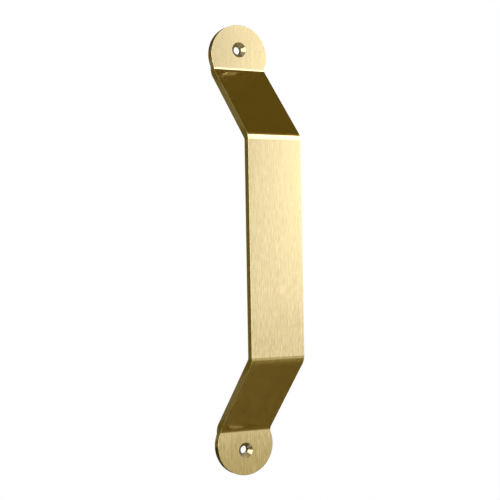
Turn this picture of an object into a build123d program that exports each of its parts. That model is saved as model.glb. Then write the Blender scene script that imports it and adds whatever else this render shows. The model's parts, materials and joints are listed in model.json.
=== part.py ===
from build123d import *
import os
from math import radians, sqrt, tan

# Pull for a sliding door, in millimetres: one flat brass bar, folded four times so that its middle
# stands off the door as a grip, with a round tab and a countersunk screw hole at each end.
# The door's face is the plane Y = 0, and the pull stands out from it towards -Y. Z runs up along the
# pull, and the origin lies on the door midway between the two screws.

# Driving dimensions
overall_length = 280.0        # from the tip of one tab to the tip of the other
strip_width = 35.0            # across the grip and the arms
thickness = 5.0               # of the bar
projection = 50.0             # from the door to the front of the grip
bend_angle = 45.0             # degrees that each fold turns the bar
inner_bend_radius = 3.0       # on the inside of each fold
tab_shoulder = 1.5            # how far a tab's rim stands past each edge of the strip
neck_radius = 2.0             # blend from a tab's rim into the edge of the strip
neck_flat = 0.4               # flat bar left between that blend and the fold
hole_from_tip = 15.5          # from a tab's tip to the centre of its screw hole
hole_diameter = 5.0           # clearance for the screw's shank
countersink_diameter = 9.5    # mouth of the countersink, at the front face
countersink_angle = 90.0      # degrees across the cone
edge_radius = 0.2             # eased edges all round the front and the back

# Front view: the round tabs and the necks where they run into the strip
tab_radius = strip_width / 2 + tab_shoulder
tab_centre_z = overall_length / 2 - tab_radius
neck_drop = sqrt((tab_radius + neck_radius) ** 2 - (strip_width / 2 + neck_radius) ** 2)
neck_end_z = tab_centre_z - neck_drop
hole_z = overall_length / 2 - hole_from_tip

# Side view: the lines where the front faces would meet if the folds were sharp
outer_bend_radius = inner_bend_radius + thickness
fold_start_z = neck_end_z - neck_flat
tab_fold_z = fold_start_z - inner_bend_radius * tan(radians(bend_angle / 2))
grip_fold_z = tab_fold_z - (projection - thickness) / tan(radians(bend_angle))


def side_view():
    """The bar from the side, in Y and Z: the line of its front faces, thickened towards the door."""
    front = FilletPolyline(
        (-thickness, overall_length / 2),
        (-thickness, tab_fold_z),
        (-projection, grip_fold_z),
        (-projection, -grip_fold_z),
        (-thickness, -tab_fold_z),
        (-thickness, -overall_length / 2),
        radius=[inner_bend_radius, outer_bend_radius, outer_bend_radius, inner_bend_radius],
    )
    return make_face(offset(front, thickness, side=Side.LEFT))


def front_view():
    """The bar from the front, in X and Z: a straight strip that runs into a round tab at each end."""
    outline = Rectangle(strip_width, 2 * tab_centre_z)
    for centre_z in (tab_centre_z, -tab_centre_z):
        outline += Pos(0, centre_z) * Circle(tab_radius)
    return fillet(outline.vertices(), neck_radius)


def folded_bar():
    """The bar where both views agree, with the edges round its front and its back eased."""
    folds = extrude(Plane.YZ * side_view(), amount=tab_radius, both=True)
    bar = folds & extrude(Plane.XZ * front_view(), amount=overall_length, both=True)
    fold_lines = bar.edges().filter_by(Axis.X)
    rim_joins = bar.edges().filter_by(Axis.Y)
    return fillet(bar.edges() - fold_lines - rim_joins, edge_radius)


def screw_hole(centre_z):
    """The countersunk hole through a tab, sunk from the front face."""
    mouth = Plane(origin=(0, -thickness, centre_z), x_dir=(1, 0, 0), z_dir=(0, -1, 0))
    return mouth * CounterSinkHole(
        radius=hole_diameter / 2,
        counter_sink_radius=countersink_diameter / 2,
        depth=thickness,
        counter_sink_angle=countersink_angle,
    )


pull_bar = folded_bar() - screw_hole(hole_z) - screw_hole(-hole_z)

os.makedirs("parts", exist_ok=True)
export_step(pull_bar, "parts/pull_bar.step")
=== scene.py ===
import json
from math import atan2, cos, dist, hypot, pi, radians, sin, sqrt, tan

import bmesh
import bpy
from mathutils import Matrix, Vector


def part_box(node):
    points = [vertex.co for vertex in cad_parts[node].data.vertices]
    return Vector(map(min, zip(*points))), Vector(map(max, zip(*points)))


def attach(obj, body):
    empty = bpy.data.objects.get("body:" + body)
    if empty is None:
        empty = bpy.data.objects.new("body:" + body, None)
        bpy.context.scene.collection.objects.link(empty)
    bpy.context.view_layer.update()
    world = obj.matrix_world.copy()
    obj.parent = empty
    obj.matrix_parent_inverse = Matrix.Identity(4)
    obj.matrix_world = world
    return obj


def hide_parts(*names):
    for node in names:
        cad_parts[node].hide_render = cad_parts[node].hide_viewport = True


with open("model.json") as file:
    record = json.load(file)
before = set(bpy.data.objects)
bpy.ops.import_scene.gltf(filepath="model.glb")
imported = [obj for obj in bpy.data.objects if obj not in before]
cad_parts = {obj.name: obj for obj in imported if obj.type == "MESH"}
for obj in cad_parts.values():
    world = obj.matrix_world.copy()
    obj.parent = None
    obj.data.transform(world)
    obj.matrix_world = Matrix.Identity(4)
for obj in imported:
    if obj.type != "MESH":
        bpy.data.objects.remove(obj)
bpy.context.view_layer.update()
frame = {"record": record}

# A sliding door pull: one flat bar of brushed brass, folded into a grip that stands off the door.
# The solid's frame is kept: metres, the door in the plane Y = 0, the front towards -Y, Z along the pull.

# Sizes of the bar, from the frame
MM_PER_METRE = 1000
low_corner, high_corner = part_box("pull_bar")
screws = next(mount for mount in frame["record"]["mounts"] if mount["name"] == "screw_holes")
TIP_Z = high_corner.z
TAB_RADIUS = high_corner.x
PROJECTION = -low_corner.y
HOLE_Z = screws["dims"]["spacing_y_mm"] / 2 / MM_PER_METRE
HOLE_RADIUS = screws["dims"]["hole_r_mm"] / MM_PER_METRE

# Sizes of the bar that the frame doesn't state
THICKNESS = 0.005
HALF_WIDTH = 0.0175
FOLD_ANGLE = radians(45)
INNER_FOLD_RADIUS = 0.003
NECK_RADIUS = 0.002
NECK_FLAT = 0.0004
SINK_RADIUS = 0.00475
SINK_DEPTH = SINK_RADIUS - HOLE_RADIUS    # the cone is 90 degrees across
EDGE_RADIUS = 0.0002

# How finely the mesh follows the curves
RIM_STEPS = 120
NECK_STEPS = 5
FOLD_STEPS = 14
EDGE_STEPS = 4
COLUMNS = 16

# Places on the bar that follow from the sizes
OUTER_FOLD_RADIUS = INNER_FOLD_RADIUS + THICKNESS
TAB_CENTRE_Z = TIP_Z - TAB_RADIUS
NECK_DROP = sqrt((TAB_RADIUS + NECK_RADIUS) ** 2 - (HALF_WIDTH + NECK_RADIUS) ** 2)
NECK_END_Z = TAB_CENTRE_Z - NECK_DROP
FOLD_START_Z = NECK_END_Z - NECK_FLAT
TAB_FOLD_Z = FOLD_START_Z - INNER_FOLD_RADIUS * tan(FOLD_ANGLE / 2)
GRIP_FOLD_Z = TAB_FOLD_Z - (PROJECTION - THICKNESS) / tan(FOLD_ANGLE)
GRIP_START_Z = GRIP_FOLD_Z - OUTER_FOLD_RADIUS * tan(FOLD_ANGLE / 2)

# Directions, and the names of what the mesh tells its material
RIGHT = Vector((1, 0, 0))
TO_DOOR = Vector((0, 1, 0))
UP = Vector((0, 0, 1))
GRAIN_MAP = "grain"
WEAR_AND_SHADE = "wear_and_shade"
TURNED_AND_SHADED = "turned_and_shaded"


def spread(start, end, steps):
    """Evenly spaced values from start to end, with both ends."""
    return [start + (end - start) * i / steps for i in range(steps + 1)]


def lengths_along(points):
    """How far along a line of points each of them lies."""
    lengths = [0.0]
    for a, b in zip(points, points[1:]):
        lengths.append(lengths[-1] + dist(a, b))
    return lengths


def strip_stations():
    """The front of the strip from the upper neck to the lower one: points and directions to the back."""
    upper = [(Vector((0, -THICKNESS, NECK_END_Z)), TO_DOOR)]
    tab_centre = Vector((0, -THICKNESS - INNER_FOLD_RADIUS, FOLD_START_Z))
    grip_centre = Vector((0, -PROJECTION + OUTER_FOLD_RADIUS, GRIP_START_Z))
    for turn in spread(0, FOLD_ANGLE, FOLD_STEPS):
        back = Vector((0, cos(turn), -sin(turn)))
        upper.append((tab_centre + INNER_FOLD_RADIUS * back, back))
    for turn in spread(FOLD_ANGLE, 0, FOLD_STEPS):
        back = Vector((0, cos(turn), -sin(turn)))
        upper.append((grip_centre - OUTER_FOLD_RADIUS * back, back))
    flip = Matrix.Scale(-1, 3, UP)
    return upper + [(flip @ point, flip @ back) for point, back in reversed(upper)]


def tab_outline():
    """The upper tab's rim from its right neck over the tip to its left neck, in X and Z.

    Each point comes with its outward direction.
    """
    lean = atan2(NECK_DROP, HALF_WIDTH + NECK_RADIUS)
    neck_centre = Vector((HALF_WIDTH + NECK_RADIUS, 0, NECK_END_Z))
    right_neck = []
    for turn in spread(pi, pi - lean, NECK_STEPS)[:-1]:
        outward = Vector((-cos(turn), 0, -sin(turn)))
        right_neck.append((neck_centre - NECK_RADIUS * outward, outward))
    rim = []
    for turn in spread(-lean, pi + lean, RIM_STEPS):
        outward = Vector((cos(turn), 0, sin(turn)))
        rim.append((TAB_CENTRE_Z * UP + TAB_RADIUS * outward, outward))
    mirror = Matrix.Scale(-1, 3, RIGHT)
    left_neck = [(mirror @ point, mirror @ outward) for point, outward in reversed(right_neck)]
    return right_neck + rim + left_neck


def bar_outline(stations, rim):
    """The closed outline of the bar: the upper tab, the left side, the lower tab and the right side.

    Each point lies on the front, and comes with its directions outwards and to the back.
    """
    front = -THICKNESS * TO_DOOR
    half_turn = Matrix.Rotation(pi, 3, "Y")
    top_tab = [(point + front, outward, TO_DOOR) for point, outward in rim]
    left_side = [(point - HALF_WIDTH * RIGHT, -RIGHT, back) for point, back in stations]
    bottom_tab = [(half_turn @ point + front, half_turn @ outward, TO_DOOR) for point, outward in rim]
    right_side = [(point + HALF_WIDTH * RIGHT, RIGHT, back) for point, back in reversed(stations)]
    return top_tab + left_side[1:-1] + bottom_tab + right_side[1:-1]


def edge_section():
    """The bar's edge in section, from the front face round to the back face: steps inwards and depths."""
    front = []
    for turn in spread(0, pi / 2, EDGE_STEPS):
        front.append((EDGE_RADIUS * (1 - sin(turn)), EDGE_RADIUS * (1 - cos(turn))))
    return front + [(inwards, THICKNESS - depth) for inwards, depth in reversed(front)]


class BarMesh:
    """Collects the bar's faces, each with its grain coordinates.

    Those are the places across the brushing and along it, in metres.
    """

    def __init__(self):
        self.bm = bmesh.new()
        self.grain = self.bm.loops.layers.uv.new(GRAIN_MAP)
        self.wear_and_shade = self.bm.verts.layers.float.new(WEAR_AND_SHADE)
        self.turned_and_shaded = self.bm.faces.layers.float.new(TURNED_AND_SHADED)

    def point(self, place, wear_and_shade=0.0):
        """A new point, and how worn the metal is there, which also sets how much painted shade it carries.
        """
        vert = self.bm.verts.new(place)
        vert[self.wear_and_shade] = wear_and_shade
        return vert

    def face(self, corners, turned_and_shaded):
        """A face between points that come with their grain coordinates; turned is 1 in holes, where the
        walls carry painted shade, and else 0.
        """
        face = self.bm.faces.new([vert for vert, _ in corners])
        face.smooth = True
        face[self.turned_and_shaded] = turned_and_shaded
        for loop, (_, grain) in zip(face.loops, corners):
            loop[self.grain].uv = grain

    def skin(self, rows, grains, closed=False, turned_and_shaded=0.0):
        """Faces between rows of points, with the grain coordinates of every point."""
        for i in range(len(rows) - 1):
            count = len(rows[i])
            for j in range(count if closed else count - 1):
                k = (j + 1) % count
                wrap = len(grains[i]) - 1 if closed and k == 0 else k
                self.face([
                    (rows[i][j], grains[i][j]),
                    (rows[i + 1][j], grains[i + 1][j]),
                    (rows[i + 1][k], grains[i + 1][wrap]),
                    (rows[i][k], grains[i][wrap]),
                ], turned_and_shaded)

    def to_object(self, name):
        """The finished mesh as an object in the scene, with its faces turned outwards."""
        bmesh.ops.recalc_face_normals(self.bm, faces=self.bm.faces)
        data = bpy.data.meshes.new(name)
        self.bm.to_mesh(data)
        self.bm.free()
        piece = bpy.data.objects.new(name, data)
        bpy.context.scene.collection.objects.link(piece)
        return piece


def rounded_edge(mesh, outline):
    """The edge that runs all the way round, in rings of points from the front face to the back face."""
    section = edge_section()
    rings = []
    for inwards, depth in section:
        # Only the rounded corners of the section are worn, and they carry painted shade that dims their
        # highlight
        wear_and_shade = 1.0 if 0 < inwards < EDGE_RADIUS else 0.0
        places = [point - inwards * outward + depth * back for point, outward, back in outline]
        rings.append([mesh.point(place, wear_and_shade) for place in places])
    around = lengths_along([point for point, _, _ in outline + outline[:1]])
    grains = [[(across, along) for along in around] for across in lengths_along(section)]
    mesh.skin(rings, grains, closed=True)
    return rings


def strip_face(mesh, stations, developed, ring, depth, rim_count):
    """One face of the strip, in rows from the upper neck to the lower one and columns across."""
    inner = HALF_WIDTH - EDGE_RADIUS
    columns = spread(-inner, inner, COLUMNS)[1:-1]
    grid = []
    for i, (point, back) in enumerate(stations):
        between = [mesh.point(point + depth * back + x * RIGHT) for x in columns]
        grid.append([ring[rim_count - 1 + i]] + between + [ring[-i]])
    mesh.skin(grid, [[(vert.co.x, -along) for vert in row] for row, along in zip(grid, developed)])
    return grid


def hole_wall(mesh, centre_z, turns):
    """The countersunk wall of a screw hole, in rings of points from the front face to the back face."""
    rings = []
    for radius, depth in ((SINK_RADIUS, 0.0), (HOLE_RADIUS, SINK_DEPTH), (HOLE_RADIUS, THICKNESS)):
        ring = []
        for turn in turns:
            ring.append(mesh.point((radius * cos(turn), depth - THICKNESS, centre_z + radius * sin(turn))))
        rings.append(ring)
    slant = hypot(SINK_RADIUS - HOLE_RADIUS, SINK_DEPTH)
    drops = [0.0, slant, slant + THICKNESS - SINK_DEPTH]
    laps = spread(0, 2 * pi * HOLE_RADIUS, len(turns))
    # The walls take the darker hole colour, painted shade in the countersink
    mesh.skin(rings, [[(drop, lap) for lap in laps] for drop in drops], closed=True, turned_and_shaded=1.0)
    for ring in rings:
        for a, b in zip(ring, ring[1:] + ring[:1]):
            mesh.bm.edges.get((a, b)).smooth = False
    return rings


def flat_grain(ring, shift):
    """Grain coordinates on a flat tab, once round a ring of points and back to its start."""
    return [(vert.co.x, vert.co.z + shift) for vert in ring + ring[:1]]


def tab_faces(mesh, side, front_edge, back_edge, neck_grain):
    """A tab's front and back faces, between its edge and its screw hole; side is 1 above and -1 below."""
    turns = [atan2(vert.co.z - side * HOLE_Z, vert.co.x) for vert in front_edge]
    wall = hole_wall(mesh, side * HOLE_Z, turns)
    shift = neck_grain - side * NECK_END_Z
    for edge, mouth in ((front_edge, wall[0]), (back_edge, wall[-1])):
        mesh.skin([edge, mouth], [flat_grain(edge, shift), flat_grain(mouth, shift)], closed=True)


def build_bar():
    """The whole bar as one closed mesh."""
    mesh = BarMesh()
    stations = strip_stations()
    rim = tab_outline()
    rings = rounded_edge(mesh, bar_outline(stations, rim))
    developed = lengths_along([point + back * THICKNESS / 2 for point, back in stations])
    front = strip_face(mesh, stations, developed, rings[0], 0.0, len(rim))
    back = strip_face(mesh, stations, developed, rings[-1], THICKNESS, len(rim))
    faces = ((rings[0], front), (rings[-1], back))
    upper_edges = [ring[:len(rim)] + grid[0][1:-1] for ring, grid in faces]
    tab_faces(mesh, 1, *upper_edges, neck_grain=0.0)
    # In each ring the lower tab follows the upper tab and all the left side but its ends
    start = len(rim) + len(stations[1:-1])
    lower_edges = [ring[start:start + len(rim)] + grid[-1][-2:0:-1] for ring, grid in faces]
    tab_faces(mesh, -1, *lower_edges, neck_grain=-developed[-1])
    piece = mesh.to_object("pull_bar_brushed")
    weighted = piece.modifiers.new("flat faces stay flat", "WEIGHTED_NORMAL")
    weighted.keep_sharp = True
    return piece


bar = build_bar()
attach(bar, "root")
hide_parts("pull_bar")

# Brushed brass: its colours and gloss where it is brushed, worn at the edges and turned in the holes, both
# with painted shade
BRASS_PALE = (0.985, 0.812, 0.462)
BRASS_DEEP = (0.748, 0.614, 0.331)
# The worn colour is darker than the brushed brass: painted shade that dims the highlight along the eased
# edges
BRASS_WORN_AND_SHADED = (0.780, 0.660, 0.370)
# The hole walls are darker than the brushed faces: painted shade in the countersinks, on their turned finish
BRASS_TURNED_AND_SHADED = (0.440, 0.375, 0.235)
ROUGHNESS_LOW = 0.15
ROUGHNESS_HIGH = 0.18
ROUGHNESS_WORN = 0.12
ROUGHNESS_TURNED = 0.26
BRUSHED_STRETCH = 0.9

# Marks of the brushing: width and length in metres, detail, and a shift that sets each kind apart
FIBRES = {"size": (0.0005, 0.0050), "detail": 1.0, "shift": 7.7}
LONG_STREAKS = {"size": (0.0007, 0.020), "detail": 1.0, "shift": 3.1}
DRIFT = {"size": (0.0040, 0.150), "detail": 2.0, "shift": 5.3}
SCRATCHES = {"size": (0.0002, 0.005), "detail": 2.0, "shift": 1.9}
MARK_ROUGHNESS = 0.6
SCRATCH_DEPTH = 0.000002
SCRATCH_STRENGTH = 0.5

# How much of the grain each kind makes, and the parts of its range that the colour and the gloss follow
FIBRE_SHARE = 0.55
STREAK_SHARE = 0.35
DRIFT_SHARE = 0.1
GRAIN_MIDDLE = 0.5
COLOUR_REACH = 0.22
GLOSS_RANGE = (0.3, 0.7)

# The brushing grows heavier along the bar, from just above its upper tip to just below its lower one
BRUSHING_START = 0.04
BRUSHING_END = -0.32
BRUSHING_LIGHT = 0.50
BRUSHING_HEAVY = 2.20

# The wear and its painted shade come and go with the drift, and are nowhere less than this share
WEAR_AND_SHADE_RANGE = (0.35, 0.65)
WEAR_AND_SHADE_LEAST = 0.3

# The colour sockets of a mix node, by number because other sockets share their names
COLOUR_A = 6
COLOUR_B = 7
COLOUR_RESULT = 2


def add_node(tree, kind, **settings):
    """A new node with these settings."""
    node = tree.nodes.new(kind)
    for name, value in settings.items():
        setattr(node, name, value)
    return node


def streaks(tree, source, size, detail, shift):
    """Noise drawn out along the brushing: streaks of about this width and length, in metres."""
    width, length = size
    stretch = add_node(tree, "ShaderNodeMapping", vector_type="POINT")
    stretch.inputs["Location"].default_value = (shift, shift, 0)
    stretch.inputs["Scale"].default_value = (1 / width, 1 / length, 1)
    noise = add_node(tree, "ShaderNodeTexNoise", noise_dimensions="2D")
    noise.inputs["Scale"].default_value = 1.0
    noise.inputs["Detail"].default_value = detail
    noise.inputs["Roughness"].default_value = MARK_ROUGHNESS
    tree.links.new(source, stretch.inputs["Vector"])
    tree.links.new(stretch.outputs["Vector"], noise.inputs["Vector"])
    return noise.outputs["Fac"]


def in_range(tree, value, low, high, to_low=0.0, to_high=1.0):
    """The value carried from one range to another, and held at its ends."""
    node = add_node(tree, "ShaderNodeMapRange")
    for name, number in (("From Min", low), ("From Max", high), ("To Min", to_low), ("To Max", to_high)):
        node.inputs[name].default_value = number
    tree.links.new(value, node.inputs["Value"])
    return node.outputs["Result"]


def mix_colours(tree, share, first, second):
    """A mix of two colours, where each is either a constant or another node's output."""
    node = add_node(tree, "ShaderNodeMix", data_type="RGBA")
    tree.links.new(share, node.inputs["Factor"])
    for socket, colour in ((node.inputs[COLOUR_A], first), (node.inputs[COLOUR_B], second)):
        if isinstance(colour, tuple):
            socket.default_value = (*colour, 1.0)
        else:
            tree.links.new(colour, socket)
    return node.outputs[COLOUR_RESULT]


def mix_values(tree, share, first, second):
    """A mix of another node's output and a number."""
    node = add_node(tree, "ShaderNodeMix", data_type="FLOAT")
    tree.links.new(share, node.inputs["Factor"])
    tree.links.new(first, node.inputs["A"])
    node.inputs["B"].default_value = second
    return node.outputs["Result"]


def maths(tree, operation, first, second):
    """One sum on two values, where the second may be a number."""
    node = add_node(tree, "ShaderNodeMath", operation=operation)
    tree.links.new(first, node.inputs[0])
    if isinstance(second, float):
        node.inputs[1].default_value = second
    else:
        tree.links.new(second, node.inputs[1])
    return node.outputs[0]


def weighted_sum(tree, *parts):
    """The sum of other nodes' outputs, each times its share."""
    total, *others = [maths(tree, "MULTIPLY", value, share) for value, share in parts]
    for other in others:
        total = maths(tree, "ADD", total, other)
    return total


def brushing_weight(tree, grain_map):
    """How heavy the brushing is at a place along the bar: it grows with the square of the way down."""
    axes = add_node(tree, "ShaderNodeSeparateXYZ")
    tree.links.new(grain_map, axes.inputs["Vector"])
    down = in_range(tree, axes.outputs["Y"], BRUSHING_START, BRUSHING_END)
    return in_range(tree, maths(tree, "MULTIPLY", down, down), 0.0, 1.0, BRUSHING_LIGHT, BRUSHING_HEAVY)


def brushed_brass():
    """Brass with two tones streaked along the brushing, fine scratches, stretched reflections, and painted
    shade on its edges and in its holes.
    """
    material = bpy.data.materials.new("brushed_brass_finish")
    material.use_nodes = True
    tree = material.node_tree
    shader = tree.nodes["Principled BSDF"]
    grain_map = add_node(tree, "ShaderNodeUVMap", uv_map=GRAIN_MAP).outputs["UV"]
    worn_and_shaded = add_node(tree, "ShaderNodeAttribute", attribute_name=WEAR_AND_SHADE).outputs["Fac"]
    turned_and_shaded = add_node(tree, "ShaderNodeAttribute", attribute_name=TURNED_AND_SHADED).outputs["Fac"]
    fibres = streaks(tree, grain_map, **FIBRES)
    long_streaks = streaks(tree, grain_map, **LONG_STREAKS)
    drift = streaks(tree, grain_map, **DRIFT)
    scratches = streaks(tree, grain_map, **SCRATCHES)
    grain = weighted_sum(tree, (fibres, FIBRE_SHARE), (long_streaks, STREAK_SHARE), (drift, DRIFT_SHARE))
    wear_and_shade = maths(tree, "MULTIPLY", worn_and_shaded, in_range(tree, drift, *WEAR_AND_SHADE_RANGE, WEAR_AND_SHADE_LEAST, 1.0))

    marks = maths(tree, "SUBTRACT", grain, GRAIN_MIDDLE)
    marks = maths(tree, "MULTIPLY", marks, brushing_weight(tree, grain_map))
    colour = mix_colours(tree, in_range(tree, marks, -COLOUR_REACH, COLOUR_REACH), BRASS_DEEP, BRASS_PALE)
    # The eased edges take the worn colour, darkened as painted shade
    colour = mix_colours(tree, wear_and_shade, colour, BRASS_WORN_AND_SHADED)
    # The hole walls take the darker colour, painted shade in the recess
    colour = mix_colours(tree, turned_and_shaded, colour, BRASS_TURNED_AND_SHADED)
    tree.links.new(colour, shader.inputs["Base Color"])

    rough = in_range(tree, grain, *GLOSS_RANGE, ROUGHNESS_LOW, ROUGHNESS_HIGH)
    rough = mix_values(tree, wear_and_shade, rough, ROUGHNESS_WORN)
    rough = mix_values(tree, turned_and_shaded, rough, ROUGHNESS_TURNED)
    tree.links.new(rough, shader.inputs["Roughness"])

    bump = add_node(tree, "ShaderNodeBump")
    bump.inputs["Strength"].default_value = SCRATCH_STRENGTH
    bump.inputs["Distance"].default_value = SCRATCH_DEPTH
    tree.links.new(scratches, bump.inputs["Height"])
    tree.links.new(bump.outputs["Normal"], shader.inputs["Normal"])

    tangent = add_node(tree, "ShaderNodeTangent", direction_type="UV_MAP", uv_map=GRAIN_MAP)
    tree.links.new(tangent.outputs["Tangent"], shader.inputs["Tangent"])
    shader.inputs["Metallic"].default_value = 1.0
    shader.inputs["Anisotropic"].default_value = BRUSHED_STRETCH
    return material


bar.data.materials.append(brushed_brass())

# Stage: a white studio with a pale floor under the pull and one lamp
FLOOR_Z = -0.25
FLOOR_SIDE = 12.0
FLOOR_PAINT = 0.8
FLOOR_GLOW = 0.375
WORLD_FILL = 0.5
LAMP_STRENGTH = 1.0
LAMP_SPREAD = 20
LAMP_AZIMUTH = -20
LAMP_ELEVATION = 62


def towards(azimuth, elevation, distance):
    """A place round the pull: degrees to the right of its front, degrees up, metres away."""
    turn, rise = radians(azimuth), radians(elevation)
    return Vector((sin(turn) * cos(rise), -cos(turn) * cos(rise), sin(rise))) * distance


def seen_rays(tree):
    """1 for what the camera, reflections and clear things see, and 0 for light that falls on a surface."""
    rays = add_node(tree, "ShaderNodeLightPath")
    seen = maths(tree, "MAXIMUM", rays.outputs["Is Camera Ray"], rays.outputs["Is Glossy Ray"])
    return maths(tree, "MAXIMUM", seen, rays.outputs["Is Transmission Ray"])


def studio_world():
    """White where it is seen, and a softer fill where it lights the floor."""
    world = bpy.data.worlds.new("studio")
    bpy.context.scene.world = world
    world.use_nodes = True
    tree = world.node_tree
    background = tree.nodes["Background"]
    background.inputs["Color"].default_value = (1, 1, 1, 1)
    strength = in_range(tree, seen_rays(tree), 0.0, 1.0, WORLD_FILL, 1.0)
    tree.links.new(strength, background.inputs["Strength"])


def sheet_object(name, size, material):
    """A flat rectangle in its own X and Y."""
    mesh = bpy.data.meshes.new(name)
    x, y = size[0] / 2, size[1] / 2
    corners = [(-x, -y, 0), (x, -y, 0), (x, y, 0), (-x, y, 0)]
    mesh.from_pydata(corners, [], [range(len(corners))])
    mesh.materials.append(material)
    sheet = bpy.data.objects.new(name, mesh)
    bpy.context.scene.collection.objects.link(sheet)
    return sheet


def studio_floor():
    """Matt paint that shows shadows, with a glow that brings the open floor up to the studio's white."""
    material = bpy.data.materials.new("pale_floor")
    material.use_nodes = True
    tree = material.node_tree
    matt = tree.nodes["Principled BSDF"]
    matt.inputs["Base Color"].default_value = (FLOOR_PAINT, FLOOR_PAINT, FLOOR_PAINT, 1)
    matt.inputs["Roughness"].default_value = 1.0
    matt.inputs["Specular IOR Level"].default_value = 0.0
    matt.inputs["Emission Color"].default_value = (1, 1, 1, 1)
    glow = in_range(tree, seen_rays(tree), 0.0, 1.0, 0.0, FLOOR_GLOW)
    tree.links.new(glow, matt.inputs["Emission Strength"])
    floor = sheet_object("floor", (FLOOR_SIDE, FLOOR_SIDE), material)
    floor.location.z = FLOOR_Z


def overhead_lamp():
    """A soft lamp, high in front, for the shadow on the floor."""
    lamp = bpy.data.lights.new("overhead_lamp", "SUN")
    lamp.energy = LAMP_STRENGTH
    lamp.angle = radians(LAMP_SPREAD)
    holder = bpy.data.objects.new("overhead_lamp", lamp)
    bpy.context.scene.collection.objects.link(holder)
    shine = -towards(LAMP_AZIMUTH, LAMP_ELEVATION, 1)
    holder.rotation_euler = shine.to_track_quat("-Z", "Y").to_euler()
    holder.visible_glossy = False


studio_world()
studio_floor()
overhead_lamp()

# Cards that show only in reflections: their tints
CLEAR = (1.0, 1.0, 1.0)
DARK_ABOVE = (0.108, 0.078, 0.010)
DARK_BEHIND = (0.105, 0.080, 0.000)
DARK_SIDE = (0.15, 0.13, 0.05)
DARK_LEFT = (0.325, 0.298, 0.09)
FLOOR_SHADE = (0.864, 0.852, 0.815)
MAT_OUTER = (0.532, 0.497, 0.348)
MAT_INNER = (0.52, 0.470, 0.260)
MAT_CENTRE = (0.516, 0.461, 0.326)
MAT_BEHIND = (0.110, 0.095, 0.030)
FRONT_SHADE = (0.523, 0.523, 0.523)

# The middle of a card's side, the step between mats on the floor, and how far the fills tilt with height
SIDE_MIDDLE = 0.5
MAT_STEP = 0.002
FILL_TILT = 1.2


def card_cover(tree, fade):
    """How fully a card covers what is behind it: wholly in its middle, and not at all at its edges.

    The fade is the share of each side that it takes at either end, up to a half for the whole card.
    """
    place = add_node(tree, "ShaderNodeTexCoord").outputs["Generated"]
    axes = add_node(tree, "ShaderNodeSeparateXYZ")
    tree.links.new(place, axes.inputs["Vector"])
    covers = []
    for axis, soft in zip("XY", fade):
        from_edge = maths(tree, "PINGPONG", axes.outputs[axis], SIDE_MIDDLE)
        edge = add_node(tree, "ShaderNodeMapRange", interpolation_type="SMOOTHSTEP")
        edge.inputs["From Max"].default_value = soft
        tree.links.new(from_edge, edge.inputs["Value"])
        covers.append(edge.outputs["Result"])
    return maths(tree, "MULTIPLY", *covers)


def card(name, centre, facing, size, fade, tint=CLEAR, glow=0.0):
    """A studio card that only reflections show: it tints what is behind it, and adds a glow."""
    material = bpy.data.materials.new(name)
    material.use_nodes = True
    tree = material.node_tree
    tree.nodes.remove(tree.nodes["Principled BSDF"])
    cover = card_cover(tree, fade)
    clear = add_node(tree, "ShaderNodeBsdfTransparent")
    tree.links.new(mix_colours(tree, cover, CLEAR, tint), clear.inputs["Color"])
    lit = add_node(tree, "ShaderNodeEmission")
    tree.links.new(maths(tree, "MULTIPLY", cover, glow), lit.inputs["Strength"])
    both = add_node(tree, "ShaderNodeAddShader")
    tree.links.new(clear.outputs[0], both.inputs[0])
    tree.links.new(lit.outputs[0], both.inputs[1])
    tree.links.new(both.outputs[0], tree.nodes["Material Output"].inputs["Surface"])
    sheet = sheet_object(name, size, material)
    sheet.location = centre
    sheet.rotation_euler = Vector(facing).to_track_quat("Z", "Y").to_euler()
    for ray in ("camera", "diffuse", "transmission", "shadow", "volume_scatter"):
        setattr(sheet, "visible_" + ray, False)


def card_towards(name, azimuth, elevation, distance, **look):
    """A card that stands in a direction from the pull and faces it."""
    place = towards(azimuth, elevation, distance)
    card(name, centre=place, facing=-place, **look)


def card_on_floor(name, level, x, y, **look):
    """A card that lies on the floor, over those of lower levels."""
    card(name, centre=(x, y, FLOOR_Z + level * MAT_STEP), facing=UP, **look)


def cards_above():
    """Dark over the upper arm and its left edge, and a bright sheet over the front for the upper fold."""
    card(
        "top_flag", centre=(0.625, 0.04, 0.77), facing=UP,
        size=(1.55, 1.08), fade=(0.05, 0.01), tint=DARK_ABOVE,
    )
    card(
        "edge_flag", centre=(-0.2, 0.01, 0.33), facing=UP,
        size=(0.3, 0.24), fade=(0.2, 0.2), tint=DARK_SIDE,
    )
    card(
        "top_softbox", centre=(0.62, -0.751, 0.695), facing=(0, 0.533, -0.846),
        size=(1.3, 1.0), fade=(0.12, 0.03), glow=1.55,
    )


def mats_on_floor():
    """Mats in layers for the lower arm, and dark ones behind and at the left for the left edges."""
    card_on_floor(
        "floor_shade", level=1, x=2.0, y=-2.6,
        size=(8.0, 6.0), fade=(0.2, 0.45), tint=FLOOR_SHADE,
    )
    card_on_floor(
        "mat", level=2, x=0.8, y=-0.2,
        size=(1.7, 2.1), fade=(0.03, 0.328), tint=MAT_OUTER,
    )
    card_on_floor(
        "mat_inner", level=3, x=0.275, y=-0.0675,
        size=(0.65, 0.535), fade=(0.08, 0.04), tint=MAT_INNER,
    )
    card_on_floor(
        "mat_centre", level=4, x=0.12, y=0.0,
        size=(0.34, 0.66), fade=(0.3, 0.5), tint=MAT_CENTRE,
    )
    card_on_floor(
        "mat_behind", level=5, x=-0.105, y=0.37,
        size=(0.57, 0.58), fade=(0.14, 0.1), tint=MAT_BEHIND,
    )
    card_on_floor(
        "mat_left", level=6, x=-0.42, y=-0.025,
        size=(0.74, 1.25), fade=(0.1, 0.064), tint=DARK_LEFT,
    )
    card_on_floor(
        "edge_mat", level=7, x=-0.15, y=0.03,
        size=(0.24, 0.16), fade=(0.2, 0.2), tint=DARK_SIDE,
    )


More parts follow.
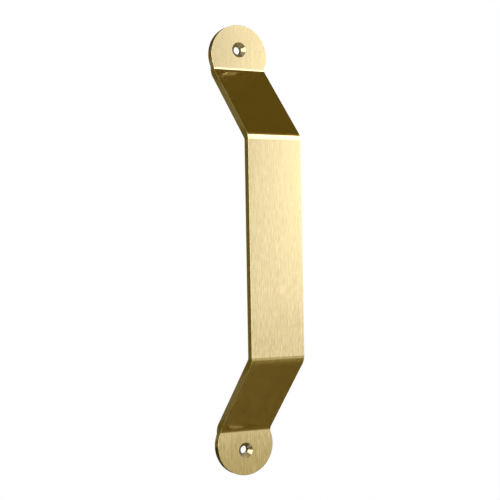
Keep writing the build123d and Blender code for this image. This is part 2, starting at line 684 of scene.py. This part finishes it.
def cards_behind():
    """Dark for the left edges and the walls of the screw holes, with a faint fill behind each arm."""
    card(
        "back_left_flag", centre=(-0.36, 0.48, 0.06), facing=-TO_DOOR,
        size=(0.56, 0.90), fade=(0.1, 0.07), tint=DARK_BEHIND,
    )
    card(
        "back_top_flag", centre=(0.0, 0.47, 0.53), facing=-TO_DOOR,
        size=(1.24, 0.56), fade=(0.1, 0.1), tint=DARK_BEHIND,
    )
    card(
        "back_right_flag", centre=(0.28, 0.46, 0.0), facing=-TO_DOOR,
        size=(0.36, 0.66), fade=(0.2, 0.1), tint=DARK_SIDE,
    )
    card_towards(
        "hole_flag", azimuth=117, elevation=0, distance=0.45,
        size=(0.26, 0.5), fade=(0.2, 0.15), tint=DARK_SIDE,
    )
    for name, height in (("upper_fill", 0.1005), ("lower_fill", -0.0995)):
        card(
            name, centre=(-0.0625, 0.0625, height), facing=(0.45, -0.885, -FILL_TILT * height),
            size=(0.09, 0.04), fade=(0.3, 0.2), glow=0.062,
        )


def cards_in_front():
    """Bright at the right and a grey shade in front, for the grip and the tabs."""
    card_towards(
        "side_softbox", azimuth=45.1, elevation=11.8, distance=0.465,
        size=(0.489, 0.485), fade=(0.5, 0.5), glow=1.545,
    )
    card_towards(
        "front_flag", azimuth=16.9, elevation=17.6, distance=0.5,
        size=(0.632, 0.743), fade=(0.5, 0.5), tint=FRONT_SHADE,
    )


def cards_at_left():
    """Dark for the eased left edges, and a bright one for the right walls of the countersinks."""
    card_towards(
        "left_flag", azimuth=-56, elevation=0, distance=0.9,
        size=(1.8, 1.26), fade=(0.1, 0.1), tint=DARK_LEFT,
    )
    card_towards(
        "corner_flag", azimuth=-114, elevation=0, distance=0.7,
        size=(0.42, 1.1), fade=(0.1, 0.1), tint=DARK_LEFT,
    )
    card_towards(
        "left_softbox", azimuth=-63, elevation=9, distance=0.7,
        size=(0.5, 0.8), fade=(0.2, 0.2), glow=4.4,
    )


cards_above()
mats_on_floor()
cards_behind()
cards_in_front()
cards_at_left()

# The camera stands where the photograph was taken from: millimetres, radians and metres
CAMERA_LENS = 86.3
CAMERA_SENSOR = 36.0
CAMERA_YAW = 0.46977
CAMERA_PITCH = 0.01068
CAMERA_ROLL = 0.01731
CAMERA_OFFSET = Vector((0.004338, -0.000543, 0.72746))    # the pull's middle: right, down and ahead


def place_camera():
    """The camera, turned by its angles and set back from the middle of the pull."""
    ahead = Vector((
        sin(CAMERA_YAW) * cos(CAMERA_PITCH),
        cos(CAMERA_YAW) * cos(CAMERA_PITCH),
        sin(CAMERA_PITCH),
    ))
    level = Vector((cos(CAMERA_YAW), -sin(CAMERA_YAW), 0))
    down = ahead.cross(level)
    right = cos(CAMERA_ROLL) * level + sin(CAMERA_ROLL) * down
    below = -sin(CAMERA_ROLL) * level + cos(CAMERA_ROLL) * down
    target = Vector((0, -PROJECTION / 2, 0))
    eye = target - (CAMERA_OFFSET.x * right + CAMERA_OFFSET.y * below + CAMERA_OFFSET.z * ahead)
    lens = bpy.data.cameras.new("camera")
    lens.sensor_width = CAMERA_SENSOR
    lens.lens = CAMERA_LENS
    camera = bpy.data.objects.new("camera", lens)
    turn = Matrix((right, -below, -ahead)).transposed().to_4x4()
    camera.matrix_world = Matrix.Translation(eye) @ turn
    bpy.context.scene.collection.objects.link(camera)
    bpy.context.scene.camera = camera


place_camera()
bpy.context.scene.view_settings.view_transform = "Standard"

# A reflection seen in another reflection stays as sharp as the metal makes it
bpy.context.scene.cycles.blur_glossy = 0.0
